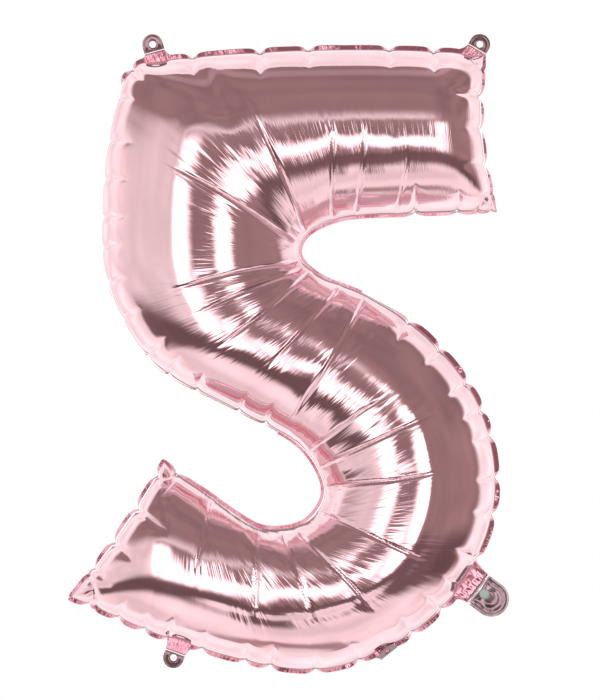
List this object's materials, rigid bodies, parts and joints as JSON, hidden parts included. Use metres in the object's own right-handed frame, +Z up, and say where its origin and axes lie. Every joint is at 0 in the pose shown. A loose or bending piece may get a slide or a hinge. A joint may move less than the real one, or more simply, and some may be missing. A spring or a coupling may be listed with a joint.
{
  "type": "foil number balloon",
  "caption": "Inflated foil balloon shaped as a figure, with a welded edge flange, punched hanging tabs and a self-sealing inflation tail.",
  "frame": {"origin": "halfway between the punched holes of the two top hanging tabs, in the seam plane, where the balloon hangs", "axes": "+Z up along the figure's height, -Y out of the front panel, +X to the figure's right as it is read"},
  "size_m": [0.4552, 0.1324, 0.6545],
  "materials": {
    "foil_front": "rose-gold metallised film, mirror-like",
    "foil_back": "rose-gold metallised film, mirror-like",
    "foil_weld": "heat-welded double foil, fine crimped ribs",
    "foil_tab": "heat-welded double foil, smooth",
    "foil_tail": "double foil with embossed weld rings",
    "valve_film": "thin grey-green polyethylene film"
  },
  "bodies": {
    "balloon": {"front_panel": "foil_front", "back_panel": "foil_back", "weld_flange": "foil_weld", "valve_film_front": "valve_film", "valve_film_back": "valve_film"},
    "hang_tab_top_left": {"hang_tab_top_left": "foil_tab"},
    "hang_tab_top_right": {"hang_tab_top_right": "foil_tab"},
    "hang_tab_bottom_left": {"hang_tab_bottom_left": "foil_tab"},
    "hang_tab_bottom_right": {"hang_tab_bottom_right": "foil_tab"},
    "inflation_tail": {"tail_front_ply": "foil_tail", "tail_back_ply": "foil_tail"}
  },
  "joints": [
    {"name": "tab_top_left_fold", "type": "hinge", "parent": "balloon", "child": "hang_tab_top_left", "pos_m": [-0.1657, 0, -0.00729], "axis": [0.9659, 0, 0.2588], "range_deg": [-115, 115]},
    {"name": "tab_top_right_fold", "type": "hinge", "parent": "balloon", "child": "hang_tab_top_right", "pos_m": [0.16425, 0, -0.00464], "axis": [0.866, 0, -0.5], "range_deg": [-115, 115]},
    {"name": "tab_bottom_left_fold", "type": "hinge", "parent": "balloon", "child": "hang_tab_bottom_left", "pos_m": [-0.14441, 0, -0.62199], "axis": [-0.9397, 0, 0.342], "range_deg": [-115, 115]},
    {"name": "tab_bottom_right_fold", "type": "hinge", "parent": "balloon", "child": "hang_tab_bottom_right", "pos_m": [0.07431, 0, -0.62302], "axis": [-0.788, 0, -0.6157], "range_deg": [-227, 3]},
    {"name": "tail_fold", "type": "hinge", "parent": "balloon", "child": "inflation_tail", "pos_m": [0.16518, 0, -0.55693], "axis": [-0.6018, 0, -0.7986], "range_deg": [-115, 115], "deforming": ["valve_film_front", "valve_film_back"]}
  ]
}
